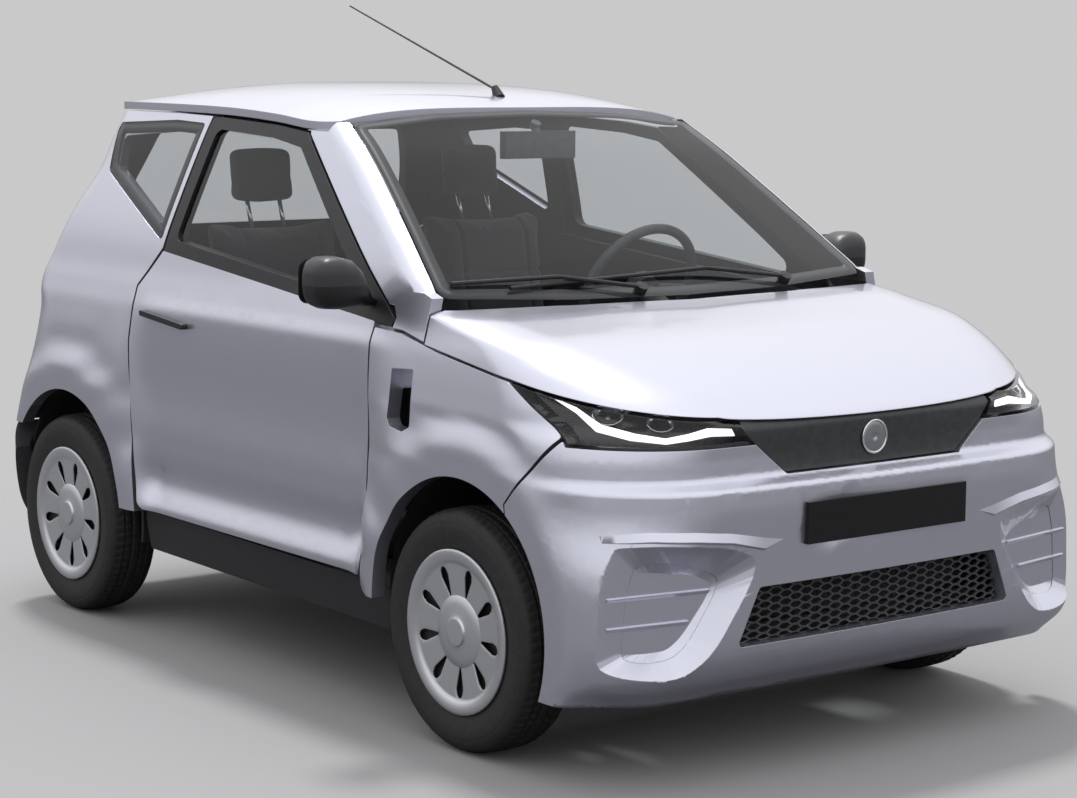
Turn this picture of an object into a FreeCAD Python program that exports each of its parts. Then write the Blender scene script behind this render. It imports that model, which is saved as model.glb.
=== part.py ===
import FreeCAD, Part
import math
import os

V = FreeCAD.Vector
doc = FreeCAD.newDocument("microcar")

# Driving dimensions, in millimetres. Front faces -Y, +X is the car's left, the ground is z = 0.
DIMS = [
    ("body_length", 2758), ("body_width", 1500), ("roof_height", 1458),
    ("front_axle", -785), ("rear_axle", 1049), ("wheel_radius", 272), ("tyre_width", 145),
    ("wheel_centre", 660), ("cap_radius", 184), ("arch_radius", 320), ("arch_lip", 380),
    ("arch_forward", 26), ("arch_height", 300),
    ("floor_top", 262), ("floor_thick", 30), ("skin", 8), ("panel_gap", 6),
    ("kerb_axis_x", 652), ("door_axis_x", 735), ("door_axis_y", -520),
    ("seat_centre", 345), ("seat_width", 430), ("hub_radius", 50),
]
sheet = doc.addObject("Spreadsheet::Sheet", "dims")
for row, (name, value) in enumerate(DIMS, 1):
    sheet.set("A%d" % row, name)
    sheet.set("B%d" % row, str(value))
    sheet.setAlias("B%d" % row, name)
doc.recompute()
D = {name: float(getattr(sheet, name)) for name, _ in DIMS}

# Body levels: height, half width, then front and rear: centre line, bow, corner radius.
LEVELS = [
    (190, 700, -1300, 20, 150, 1330, 10, 60),
    (230, 728, -1338, 25, 150, 1352, 10, 60),
    (300, 742, -1362, 28, 165, 1370, 10, 60),
    (450, 747, -1368, 30, 205, 1379, 10, 65),
    (600, 743, -1373, 32, 300, 1372, 18, 115),
    (632, 741, -1370, 32, 300, 1369, 20, 125),
    (654, 739, -1338, 34, 290, 1366, 22, 135),
    (690, 736, -1334, 35, 290, 1360, 25, 145),
    (740, 731, -1335, 40, 325, 1352, 28, 155),
    (762, 729, -1330, 45, 370, 1348, 30, 158),
    (785, 726, -1297, 40, 340, 1344, 32, 155),
    (830, 720, -1210, 25, 280, 1336, 34, 148),
    (880, 712, -1080, 10, 200, 1324, 35, 110),
    (915, 703, -960, 2, 150, 1314, 35, 90),
    (935, 698, -850, 4, 140, 1304, 35, 84),
    (950, 694, -772, 20, 120, 1297, 35, 84),
    (963, 690, -706, 60, 90, 1291, 35, 86),
    (984, 685, -672, 52, 62, 1281, 35, 88),
    (1039, 673, -602, 52, 64, 1255, 35, 94),
    (1100, 655, -517, 52, 66, 1225, 35, 100),
    (1223, 613, -343, 53, 68, 1163, 35, 140),
    (1300, 585, -228, 54, 69, 1130, 33, 120),
    (1361, 560, -126, 55, 70, 1104, 30, 110),
    (1400, 540, -68, 56, 70, 1090, 30, 105),
]
# Half width of the doors by height: sill flare, scallop, lower crease, shoulder, belt.
DOOR = [(300, 712), (330, 722), (352, 724), (400, 706), (440, 700), (500, 712), (570, 716),
        (650, 712), (750, 716), (830, 719), (870, 718), (905, 707), (950, 694)]


def spline(points):
    """Monotone cubic through (x, y) points, held flat outside them."""
    xs = [p[0] for p in points]
    ys = [p[1] for p in points]
    n = len(xs)
    h = [xs[i + 1] - xs[i] for i in range(n - 1)]
    d = [(ys[i + 1] - ys[i]) / h[i] for i in range(n - 1)]
    m = [d[0]] + [0.0] * (n - 2) + [d[-1]]
    for i in range(1, n - 1):
        if d[i - 1] * d[i] > 0:
            w1, w2 = 2 * h[i] + h[i - 1], h[i] + 2 * h[i - 1]
            m[i] = (w1 + w2) / (w1 / d[i - 1] + w2 / d[i])

    def value(x):
        if x <= xs[0]:
            return ys[0]
        if x >= xs[-1]:
            return ys[-1]
        i = max(k for k in range(n - 1) if xs[k] <= x)
        t = (x - xs[i]) / h[i]
        return (ys[i] * (1 + 2 * t) * (1 - t) ** 2 + h[i] * m[i] * t * (1 - t) ** 2
                + ys[i + 1] * t * t * (3 - 2 * t) - h[i] * m[i + 1] * t * t * (1 - t))
    return value


LEVEL = [spline([(r[0], r[k]) for r in LEVELS]) for k in range(1, 8)]
DOOR_X = spline(DOOR)


def step(a, b, x):
    t = min(1.0, max(0.0, (x - a) / float(b - a)))
    return t * t * (3 - 2 * t)


def corner(a, y0, bow, r):
    """Junction and arc centre where a bowed end (opening towards +y) meets the side x = a."""
    xj = a - r
    for _ in range(4):
        m = 2 * bow * xj / a ** 2
        s = math.hypot(1, m)
        xj = a - r + r * m / s
    m = 2 * bow * xj / a ** 2
    s = math.hypot(1, m)
    return xj, xj - r * m / s, y0 + bow * (xj / a) ** 2 + r / s, math.atan2(-1, m)


def ring(t, z):
    """Plan point of the body at height z: t 0..1 front, 1..2 corner, 2..4 side, 4..5, 5..6 rear."""
    a, yf, bf, rf, yr, br, rr = [f(z) for f in LEVEL]
    mid = 400 * step(940, 1250, z)
    if t <= 3:
        y0, bow, r, sign = yf, bf, rf, 1
    else:
        y0, bow, r, sign, t, mid = -yr, br, rr, -1, 6 - t, -mid
    xj, cx, cy, start = corner(a, y0, bow, r)
    if t <= 1:
        x, y = xj * t, y0 + bow * (xj * t / a) ** 2
    elif t <= 2:
        w = start * (2 - t)
        x, y = cx + r * math.cos(w), cy + r * math.sin(w)
    else:
        x, y = a, mid + (cy - mid) * (3 - t)
    return x, sign * y


def side(y, z):
    """Extra half width from the door's own profile and the wheel arches' flares."""
    door = step(-520, -395, y) * (1 - step(560, 700, y))
    dx = door * (DOOR_X(z) - LEVEL[0](z)) if z < 950 else 0.0
    for axle in (D["front_axle"], D["rear_axle"]):
        r = math.hypot(y - axle + D["arch_forward"], z - D["arch_height"])
        dx += (749.5 - (LEVEL[0](z) + dx)) * (1 - step(D["arch_lip"] - 6, D["arch_lip"] + 70, r))
    return dx


def hull(t, z):
    x, y = ring(t, z)
    if t > 1.2 and t < 4.8 and z < 950:
        x += side(y, z) * min(1.0, (t - 1.2) / 0.6, (4.8 - t) / 0.6)
    return V(x, y, z)


def at_side(y, z):
    return V(LEVEL[0](z) + side(y, z), y, z)


def inset(grid, depth):
    """The grid moved inward by depth, level by level, along the plan normals."""
    last = len(grid) - 1
    out = []
    for i, line in enumerate(grid):
        moved = []
        for j, p in enumerate(line):
            a = grid[min(i + 1, last)][j] - grid[max(i - 1, 0)][j]
            n = V(a.y, -a.x, 0)
            n.normalize()
            moved.append(p - n * depth)
        out.append(moved)
    return out


def shares(lines):
    """Mean chord-length parameters of several lines of points, 0 to 1."""
    steps = [sum((ln[i + 1] - ln[i]).Length / len(lines) for ln in lines) for i in range(len(lines[0]) - 1)]
    out = [0.0]
    for d in steps:
        out.append(out[-1] + d)
    return [v / out[-1] for v in out]


def through(points, params):
    c = Part.BSplineCurve()
    c.interpolate(Points=points, Parameters=params)
    return c


def surface(grid):
    """Cubic surface through a grid of points, fitted one way and then the other."""
    turned_grid = [list(line) for line in zip(*grid)]
    pu, pv = shares(turned_grid), shares(grid)
    first = [through(line, pu) for line in turned_grid]
    second = [through(list(line), pv) for line in zip(*[c.getPoles() for c in first])]
    s = Part.BSplineSurface()
    s.buildFromPolesMultsKnots([c.getPoles() for c in second], first[0].getMultiplicities(),
                               second[0].getMultiplicities(), first[0].getKnots(), second[0].getKnots(),
                               False, False, 3, 3)
    return s.toShape()


def near_edge(face, p):
    v = Part.Vertex(p)
    return min(face.Edges, key=lambda e: e.distToShape(v)[0])


def slab(outer, thick, way=None):
    """Closed solid between a grid of points and its level offset inward, or one given by way(p)."""
    if way:
        inner = [[p + way(p) * thick for p in line] for line in outer]
    else:
        inner = inset(outer, thick)
    fo, fi = surface(outer), surface(inner)
    nu, nv = len(outer), len(outer[0])
    faces = [fo, fi]
    for i, j in ((0, nv // 2), (nu - 1, nv // 2), (nu // 2, 0), (nu // 2, nv - 1)):
        faces.append(Part.makeRuledSurface(near_edge(fo, outer[i][j]), near_edge(fi, inner[i][j])))
    shell = Part.makeShell(faces)
    shell.sewShape()
    solid = Part.makeSolid(shell)
    if solid.Volume < 0:
        solid.reverse()
    return solid


def wire2d(points, radius=0):
    """Closed outline in 2-D with its corners rounded: radius may be one value or one a corner."""
    n = len(points)
    rs = radius if isinstance(radius, (list, tuple)) else [radius] * n
    segs = []
    for i in range(n):
        p0, p, p1 = points[i - 1], points[i], points[(i + 1) % n]
        ax, ay, bx, by = p0[0] - p[0], p0[1] - p[1], p1[0] - p[0], p1[1] - p[1]
        la, lb = math.hypot(ax, ay), math.hypot(bx, by)
        cosw = (ax * bx + ay * by) / (la * lb)
        half = math.acos(max(-1, min(1, cosw))) / 2
        r = rs[i]
        if r <= 0 or half > math.radians(88):
            segs.append((p, None, p))
            continue
        cut = min(r / math.tan(half), 0.45 * la, 0.45 * lb)
        r = cut * math.tan(half)
        a = (p[0] + ax / la * cut, p[1] + ay / la * cut)
        b = (p[0] + bx / lb * cut, p[1] + by / lb * cut)
        mx, my = ax / la + bx / lb, ay / la + by / lb
        k = math.hypot(mx, my)
        d = r / math.sin(half) - r
        segs.append((a, (p[0] + mx / k * d, p[1] + my / k * d), b))
    return segs


def prism(points, axis, lo, hi, radius=0):
    """Outline extruded along X (points y, z), Y (points x, z) or Z (points x, y)."""
    def at(p):
        return {"x": V(lo, p[0], p[1]), "y": V(p[0], lo, p[1]), "z": V(p[0], p[1], lo)}[axis]
    segs = wire2d(points, radius)
    edges = []
    for i, (a, m, b) in enumerate(segs):
        if m:
            edges.append(Part.Arc(at(a), at(m), at(b)).toShape())
        c = segs[(i + 1) % len(segs)][0]
        if math.hypot(c[0] - b[0], c[1] - b[1]) > 1e-6:
            edges.append(Part.makeLine(at(b), at(c)))
    face = Part.Face(Part.Wire(edges))
    way = {"x": V(hi - lo, 0, 0), "y": V(0, hi - lo, 0), "z": V(0, 0, hi - lo)}[axis]
    return face.extrude(way)


def columns(a, b):
    """Values of t from a to b, close together round the corners."""
    marks = [0, 0.2, 0.4, 0.58, 0.72, 0.83, 0.91, 0.97, 1.04, 1.18, 1.34, 1.5, 1.66, 1.82, 1.96, 2.02, 2.06,
             2.12, 2.2, 2.3, 2.4, 2.5, 2.6, 2.7, 2.8, 2.9, 3.0]
    marks = marks + [6 - t for t in reversed(marks[:-1])]
    near = 0.03
    return [a] + [t for t in marks if a + near < t < b - near] + [b]


def spread(a, b, n):
    return [a + (b - a) * i / float(n - 1) for i in range(n)]


def tube(p, q, r, r2=None):
    p, q = V(*p), V(*q)
    if r2 is None:
        return Part.makeCylinder(r, (q - p).Length, p, q - p)
    return Part.makeCone(r, r2, (q - p).Length, p, q - p)


def box(x0, x1, y0, y1, z0, z1):
    return Part.makeBox(x1 - x0, y1 - y0, z1 - z0, V(x0, y0, z0))


def mirror(shape):
    return shape.mirror(V(0, 0, 0), V(1, 0, 0))


def join(*shapes):
    s = shapes[0].multiFuse(list(shapes[1:])) if len(shapes) > 1 else shapes[0]
    return s.removeSplitter()


NODES = []


def add(name, shape):
    obj = doc.addObject("Part::Feature", name)
    obj.Label = name
    obj.Shape = shape
    NODES.append(obj)
    return obj


def both(name, shape):
    """One node a side; the shape is the left one (+X)."""
    add(name + "_left", shape)
    add(name + "_right", mirror(shape))


def pair(name, shape):
    """Two like solids, one a side, in one node."""
    add(name, Part.makeCompound([shape, mirror(shape)]))


def grid_of(point, us, vs):
    return [[point(u, v) for v in vs] for u in us]


def both_ways(ts):
    """Column values for a surface that spans the centre line: signed t."""
    return [-t for t in reversed(ts) if t > 1e-9] + list(ts)


def nose(t, z):
    p = hull(abs(t), z)
    return V(math.copysign(p.x, t) if t else 0.0, p.y, p.z)


def tail(t, z):
    p = hull(6 - abs(t), z)
    return V(-math.copysign(p.x, t) if t else 0.0, p.y, p.z)


G = D["panel_gap"]
BELT = lambda y: 925 + 0.0957 * (y + 431)

# Arches, as cutters through both sides.
arch_f = tube((-900, D["front_axle"] - D["arch_forward"], D["arch_height"]),
              (900, D["front_axle"] - D["arch_forward"], D["arch_height"]), D["arch_radius"])
arch_r = tube((-900, D["rear_axle"] - D["arch_forward"], D["arch_height"]),
              (900, D["rear_axle"] - D["arch_forward"], D["arch_height"]), D["arch_radius"])

# Doors: lower shell in body colour, window frame above it, glass in the frame.
zs = [290, 322, 340, 352, 372, 400, 440, 480, 500, 530, 570, 610, 680, 750, 810, 850, 880, 905, 930, 965, 1000, 1050]
door_skin = grid_of(at_side, spread(-560, 760, 25), zs)
door_line = [(-421, 338), (-431, BELT(-431)), (583, BELT(583)), (678, 925), (685, 784), (626, 345)]
door = slab(door_skin, 52).common(prism(door_line, "x", 500, 900, [18, 3, 3, 16, 20, 30]))
frame_line = [(-508, 934), (54, 1338), (200, 1353), (478, 1367), (522, 1367),
              (580, BELT(580)), (-431, BELT(-431)), (-500, 921)]
glass_line = [(-398, 958), (62, 1302), (200, 1322), (462, 1336), (482, 1326), (530, 1052)]
side_up = grid_of(at_side, spread(-530, 640, 12), [890, 930, 950, 963, 984, 1039, 1100, 1160, 1223, 1300, 1361, 1385])
upper = slab(side_up, 30)
window_cut = prism(glass_line, "x", 400, 900, 22)
frame = upper.common(prism(frame_line, "x", 400, 900, [4, 10, 60, 10, 12, 3, 3, 3])).cut(window_cut)


door_glass = slab(inset(side_up, 8), 5).common(window_cut)
both("door", door)
both("window_frame", frame)
both("door_glass", door_glass)

# Front wings: door edge to bumper and lamp, bonnet line to the arch.
ts = columns(1.1, 2.85)
zs = [290, 322, 352, 400, 450, 500, 560, 600, 632, 654, 680, 700, 730, 762, 785, 810, 830, 855, 880, 900, 920]
wing_line = [(-427, 322), (-437, 912), (-542, 907), (-695, 877), (-957, 840), (-1124, 741),
             (-984, 585), (-1000, 500), (-1000, 300), (-460, 300), (-437, 308)]
wing = slab(grid_of(hull, ts, zs), 36).cut(arch_f)
wing = wing.common(prism(wing_line, "x", 500, 900, [4, 4, 30, 60, 8, 6, 0, 0, 0, 0, 4]))
vent = [(-528, 828), (-612, 833), (-616, 705), (-590, 693), (-540, 700), (-528, 716)]
both("front_wing", wing.cut(prism(vent, "x", 690, 900, 6)))

# Front bumper with the lower grille opening and two pods.
bonnet_line = [(-1400, 748), (-1335, 757), (-1293, 779), (-960, 846), (-695, 883), (-600, 896)]
zs = [186, 205, 230, 262, 300, 350, 400, 450, 500, 550, 600, 622, 632, 640, 648, 654, 670, 690, 715, 740]
bump_line = [(-1400, 180), (-1400, 718), (-1140, 722), (-1131, 734), (-990, 585), (-1000, 500), (-1000, 180)]
bumper = slab(grid_of(nose, both_ways(columns(0, 2.6)), zs), 40).cut(arch_f)
bumper = bumper.common(prism(bump_line, "x", -900, 900, [0, 0, 0, 4, 0, 0, 0]))
panel_line = [(-356, 728), (-385, 775), (385, 775), (356, 728), (262, 652), (-262, 652)]
bumper = bumper.cut(prism(panel_line, "y", -1500, -1200, 6))
mouth = [(-358, 424), (358, 424), (414, 300), (-414, 300)]
bumper = bumper.cut(prism(mouth, "y", -1500, -1200, 10))
plate = box(-240, 240, -1379, -1366, 504, 594)
bumper = bumper.cut(plate)
add("front_plate", plate)
mesh = slab(inset(grid_of(nose, both_ways(columns(0, 0.97)), spread(285, 440, 5)), 26), 10)
mesh = mesh.common(prism(mouth, "y", -1500, -1200, 10))
add("front_bumper", bumper)
add("lower_grille", mesh)
grille = slab(inset(grid_of(nose, both_ways(columns(0, 0.97)), [640, 654, 672, 690, 715, 740, 757, 770]), 8), 20)
inner_panel = [(-356 + 6, 728), (-380, 762), (-368, 768), (368, 768), (380, 762), (350, 728), (258, 655), (-258, 655)]
add("grille_panel", grille.common(prism(inner_panel, "y", -1500, -1200, 5)))

# Headlamps: front outline and side outline both bound them.
lamp_front = [(355, 724), (389, 775), (420, 900), (760, 900), (760, 700), (500, 700)]
lamp_side = [(-1400, 742), (-1335, 751), (-1293, 773), (-965, 839), (-1131, 740), (-1142, 728), (-1400, 724)]
zs = [700, 715, 730, 740, 750, 762, 775, 785, 800, 815, 830, 845, 860]
lamp = slab(grid_of(hull, columns(0.3, 2.5), zs), 34)
lamp = lamp.common(prism(lamp_side, "x", 300, 900)).common(prism(lamp_front, "y", -1500, -800))
pair("headlamps", lamp)

# Bonnet: everything above the gap line and ahead of the windscreen's foot.
zs = [745, 757, 762, 772, 785, 805, 830, 855, 880, 900, 915, 928, 940, 950, 957, 963]
bonnet = slab(grid_of(nose, both_ways(columns(0, 2.9)), zs), 14,
              lambda p: V(-(p.x / 700) ** 5, step(-900, -1330, p.y), -1))
over_line = [(-1400, 751), (-1337, 759), (-1293, 779), (-960, 846), (-695, 883), (-630, 892), (-500, 1000), (-1400, 1000)]
foot = [(-656, -641), (-330, -696), (0, -716), (330, -696), (656, -641), (800, -641), (800, -1400), (-800, -1400), (-800, -641)]
bonnet = bonnet.common(prism(over_line, "x", -900, 900)).common(prism(foot, "z", 600, 1100, [4, 400, 400, 400, 4, 0, 0, 0, 0]))
add("bonnet", bonnet)

# Windscreen and its pillars.
zs = [966, 975, 984, 1039, 1100, 1160, 1223, 1300, 1361, 1400]
screen = grid_of(nose, both_ways(columns(0, 1.9)), zs)
screen_line = [(654, 987), (330, 973), (0, 969), (-330, 973), (-654, 987), (-525, 1359), (-280, 1384), (0, 1391), (280, 1384), (525, 1359)]
glass = (slab(inset(screen, 1), 6).common(prism(screen_line, "y", -900, 100, [18, 300, 300, 300, 18, 22, 300, 300, 300, 22])))
add("windscreen", glass)
pillar_zs = [966, 984, 1039, 1100, 1160, 1223, 1300, 1361, 1385]
pillar = slab(grid_of(hull, columns(0.8, 2.75), pillar_zs), 34)
pillar_side = [(-800, 880), (-514, 938), (36, 1335), (40, 1343), (-39, 1343), (-43, 1364), (-200, 1366), (-800, 1000)]
pillar_front = [(657, 987), (528, 1361), (528, 1400), (900, 1400), (900, 900), (657, 900)]
pillar = pillar.common(prism(pillar_side, "x", 400, 900)).common(prism(pillar_front, "y", -900, 200))
base_grid = grid_of(at_side, spread(-660, -480, 6), [880, 900, 920, 940, 963, 984, 1010])
base = slab(base_grid, 30)
base_line = [(-634, 896), (-548, 914), (-506, 916), (-514, 940), (-470, 1000), (-600, 1000), (-634, 990)]
base = base.common(prism(base_line, "x", 500, 900))
pair("a_pillars", pillar.fuse(base).removeSplitter())

# Roof dome.
ZC = spline([(-80, 1394), (36, 1425), (200, 1446), (400, 1456), (600, 1458), (800, 1451), (1000, 1426), (1090, 1402)])
ZE = spline([(-60, 1370), (-30, 1367), (40, 1366), (74, 1368), (200, 1380), (478, 1394), (700, 1398), (1000, 1400), (1090, 1398)])
XE = spline([(-60, 522), (-30, 534), (60, 561), (400, 556), (800, 553), (1000, 545), (1080, 520)])


def roof_point(u, s):
    a = abs(u)
    y = (-64 + 30 * a * a) * (1 - s) + (1082 - 22 * a * a) * s
    x = u * XE(y)
    top, edge = ZC(y), ZE(y)
    return V(x, y, top - (top - edge) * a ** 3.2)


us = [-1, -0.985, -0.95, -0.88, -0.78, -0.66, -0.52, -0.36, -0.18, 0, 0.18, 0.36, 0.52, 0.66, 0.78, 0.88, 0.95, 0.985, 1]
roof = slab(grid_of(lambda u, s: roof_point(u, s), us, spread(0, 1, 17)), 20, lambda p: V(0, 0, -1))
add("roof", roof)

# Rear quarters with the B-pillar, quarter windows, tail lamps.
zs = [300, 340, 380, 430, 480, 530, 570, 610, 650, 690, 740, 790, 847, 880, 905, 932, 963, 984, 1021, 1060, 1123, 1180, 1223, 1300, 1361, 1395]
quarter_grid = grid_of(hull, columns(3.2, 5.7), zs)
quarter = slab(quarter_grid, 34).cut(arch_r)
quarter_line = [(633, 338), (692, 784), (685, 928), (589, 1030), (528, 1369), (700, 1374), (1000, 1376), (1090, 1374),
                (1450, 1374), (1450, 500), (1300, 500), (1300, 338)]
quarter = quarter.common(prism(quarter_line, "x", 400, 900, [3, 20, 16, 4, 4, 0, 0, 0, 0, 0, 0, 0]))
gate_line = [(594, 572), (598, 850), (554, 866), (554, 1006), (588, 1026), (546, 1200), (480, 1364), (440, 1370), (0, 1377)]
gate_line = gate_line + [(-x, z) for x, z in reversed(gate_line[:-1])]
gate_gap = [(600, 560), (604, 854), (560, 870), (560, 1002), (594, 1024), (552, 1201), (484, 1376), (484, 1500), (0, 1500)]
gate_gap = gate_gap + [(-x, z) for x, z in reversed(gate_gap[:-1])]
quarter = quarter.cut(prism(gate_gap, "y", 900, 1600))
rear_line = [(-800, 170), (800, 170), (800, 494), (644, 494), (596, 562), (-596, 562), (-644, 494), (-800, 494)]
rear_gap = [(-800, 170), (800, 170), (800, 500), (647, 500), (599, 568), (-599, 568), (-647, 500), (-800, 500)]
quarter = quarter.cut(prism(rear_gap, "y", 1200, 1600))
lamp_box = prism([(560, 870), (560, 1002), (720, 1014), (800, 1014), (800, 905), (700, 884)], "y", 1100, 1500, 8).common(
    prism([(1190, 1014), (1500, 1014), (1500, 860), (1262, 872)], "x", 400, 900, 6))
quarter = quarter.cut(lamp_box)
window_q = [(604, 1046), (985, 1212), (1010, 1322), (1002, 1344), (700, 1356), (552, 1350)]
hole_q = [(636, 1082), (948, 1218), (976, 1308), (700, 1326), (586, 1322)]
glass_q = slab(inset(quarter_grid, 1), 6).common(prism(window_q, "x", 400, 900, [12, 20, 14, 14, 60, 10]))
rebate = slab(inset(quarter_grid, -6), 14).common(prism(window_q, "x", 400, 900, [12, 20, 14, 14, 60, 10]))
quarter = quarter.cut(rebate).cut(prism(hole_q, "x", 400, 900, 20))
both("side_panel", quarter)
pair("quarter_windows", glass_q)
tail_grid = grid_of(hull, columns(3.7, 5.7), [840, 860, 880, 905, 932, 963, 984, 1021, 1040])
pair("tail_lamps", slab(tail_grid, 34).common(lamp_box))

# Tailgate, its glass and the rear bumper.
zs = [555, 570, 600, 650, 700, 760, 847, 905, 932, 963, 984, 1021, 1060, 1123, 1180, 1223, 1300, 1361, 1395]
gate_grid = grid_of(tail, both_ways(columns(0, 1.9)), zs)
gate_hole = [(500, 1046), (452, 1200), (406, 1322), (-406, 1322), (-452, 1200), (-500, 1046)]
gate_pane = [(536, 1014), (492, 1200), (440, 1348), (-440, 1348), (-492, 1200), (-536, 1014)]
gate = slab(gate_grid, 38).common(prism(gate_line, "y", 900, 1600))
gate = gate.cut(slab(inset(gate_grid, -8), 16).common(prism(gate_pane, "y", 900, 1600, 36)))
gate = gate.cut(prism(gate_hole, "y", 900, 1600, 36))
add("tailgate", gate)
add("tailgate_glass", slab(inset(gate_grid, 1), 6).common(prism(gate_pane, "y", 900, 1600, 36)))
zs = [225, 240, 262, 300, 350, 400, 450, 500, 540, 580]
rear = slab(grid_of(tail, both_ways(columns(0, 2.3)), zs), 40).cut(arch_r)
rear = rear.common(prism(rear_line, "y", 900, 1600, 4)).common(prism([(1200, 160), (1500, 160), (1500, 700), (1352, 700), (1352, 495), (1338, 470)], "x", -900, 900))
add("rear_bumper", rear.cut(tube((-694, 1023, 300), (694, 1023, 300), 340)))

# Floor, bulkhead, front frame, skirts.
floor = join(box(-600, 600, -440, 520, 228, 262), box(-540, 540, 490, 520, 228, 430), box(-540, 540, 490, 1310, 400, 430),
             box(-540, 540, 1280, 1310, 330, 560))
add("floor_pan", floor)
bulk = join(box(-430, 430, -470, -440, 228, 660), box(-640, 640, -600, -440, 640, 660), box(-640, 640, -600, -580, 640, 930))
add("bulkhead", bulk)
rails = join(box(392, 432, -1240, -470, 262, 322), box(-432, -392, -1240, -470, 262, 322), box(-432, 432, -1270, -1230, 262, 322),
             box(-432, 432, -1260, -1230, 520, 640), box(392, 432, -1260, -1230, 262, 640), box(-432, -392, -1260, -1230, 262, 640))
add("front_frame", rails)
skirt = prism([(-468, 214), (656, 230), (690, 330), (-484, 314)], "x", 600, 684, 10)
for y in (-811, 1023):
    skirt = skirt.cut(tube((400, y, 300), (800, y, 300), 340))
pair("side_skirts", skirt)
liner = tube((444, -811, 300), (690, -811, 300), 336).cut(tube((450, -811, 300), (700, -811, 300), 328))
liner = liner.common(box(400, 800, -1200, -400, 240, 800)).cut(tube((400, -785, 272), (500, -785, 272), 120))
rliner = tube((552, 1023, 300), (690, 1023, 300), 336).cut(tube((560, 1023, 300), (700, 1023, 300), 328))
rliner = rliner.common(box(400, 800, 600, 1500, 240, 800)).cut(tube((500, 1049, 272), (600, 1049, 272), 60))
pair("front_liners", liner)
pair("rear_liners", rliner)

# Cabin: dashboard, steering wheel, seats, mirror.
dash = prism([(-560, 680), (-330, 680), (-300, 780), (-330, 880), (-560, 935)], "x", -630, 630, 30)
axis = V(0, math.cos(math.radians(25)), math.sin(math.radians(25)))
hub = V(345, -112, 930)
rim = Part.makeTorus(172, 13, hub, axis)
col = tube(tuple(hub - axis * 30), tuple(hub + axis * 6), 45)
spokes = [tube(tuple(hub), tuple(hub + V(sx * 168, 0, -10)), 10) for sx in (-1, 1)]
add("steering_wheel", join(rim, col, *spokes))
cushion = prism([(10, 262), (10, 470), (60, 500), (430, 470), (470, 262)], "x", 130, 560, 30)
back = prism([(440, 480), (545, 1090), (610, 1110), (640, 1090), (560, 470)], "x", 140, 550, 25)
head = prism([(590, 1130), (612, 1290), (690, 1290), (680, 1130)], "x", 245, 445, 22)
posts = [tube((x, 610, 1090), (x, 640, 1140), 6) for x in (300, 390)]
add("dashboard", dash.fuse(tube((345, -400, 795), tuple(hub - axis * 38), 26)).removeSplitter())
both("seat", join(cushion, back, head, *posts))


# Engine block, subframe, rear axle, knuckles.
add("engine", box(-300, 260, -1200, -720, 300, 640))
arms = [tube((s * 380, -785, 203), (s * 644, -785, 183), 9) for s in (-1, 1)]
ends = [tube((s * D["kerb_axis_x"], -785, 178), (s * D["kerb_axis_x"], -785, 190), 20) for s in (-1, 1)]
struts = [tube((s * 505, -785, 196), (s * 505, -785, 560), 22) for s in (-1, 1)]
add("front_subframe", join(box(-400, 400, -825, -745, 190, 250), *(arms + ends + struts)))
beam = [box(-560, 560, 1000, 1040, 250, 300), tube((-700, 1049, 272), (700, 1049, 272), 24),
        box(470, 510, 520, 1040, 262, 312), box(-510, -470, 520, 1040, 262, 312)]
add("rear_axle", join(*beam))
up = join(box(604, 632, -825, -745, 198, 345), tube((632, -785, 272), (700, -785, 272), 24),
          box(604, 674, -805, -765, 198, 214), box(604, 620, -745, -660, 255, 275))
both("knuckle", up)

# Wheels and tyres, turned about the wheel axis.
tyre_pts = [(170, -60), (182, -67), (228, -72.5), (254, -67), (268, -55), (272, -38), (272, 38), (268, 55), (254, 67), (228, 72.5),
            (190, 67), (178, 60), (170, 56)]
cap_pts = [(0.01, 52), (0.01, 71), (46, 71), (58, 64), (96, 62), (150, 69), (178, 72), (184, 70), (184, 66.5), (172, 61), (169.5, 56),
           (169.5, -58), (160, -58), (160, 50), (96, 54), (58, 54), (48, 20), (30, 20), (30, 52)]


def turned(pts, x, y, z):
    face = Part.Face(Part.makePolygon([V(x + p[1], y, z + p[0]) for p in pts + pts[:1]]))
    return face.revolve(V(x, y, z), V(1, 0, 0), 360)


for end, y in (("front", D["front_axle"]), ("rear", D["rear_axle"])):
    both("tyre_" + end, turned(tyre_pts, D["wheel_centre"], y, D["wheel_radius"]))
    both("wheel_" + end, turned(cap_pts, D["wheel_centre"], y, D["wheel_radius"]))

# Small outside pieces.
house = Part.makeSphere(1, V(0, 0, 0))
m = FreeCAD.Matrix()
m.scale(66, 58, 46)
house = house.transformGeometry(m)
house.translate(V(790, -398, 1032))
both("door_mirror", join(house, tube((690, -440, 968), (770, -410, 1005), 16, 13)).cut(frame).cut(door))
handle = prism([(388, 836), (606, 856), (608, 870), (390, 850)], "x", 716, 738, 5).cut(door)
both("door_handle", handle)


def on_glass(x, z, off):
    """Point on the windscreen's outer face at (x, z), lifted off it."""
    a, yf, bow = LEVEL[0](z), LEVEL[1](z), LEVEL[2](z)
    return V(x, yf + bow * (x / a) ** 2, z) + V(0, -0.566, 0.824) * off


def pipe(points, r):
    """Round bar through points with round corners."""
    path = Part.makePolygon([V(*p) for p in points])
    ring_wire = Part.Wire(Part.makeCircle(r, V(*points[0]), V(*points[1]) - V(*points[0])))
    return path.makePipeShell([ring_wire], True, False, 2)


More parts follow.
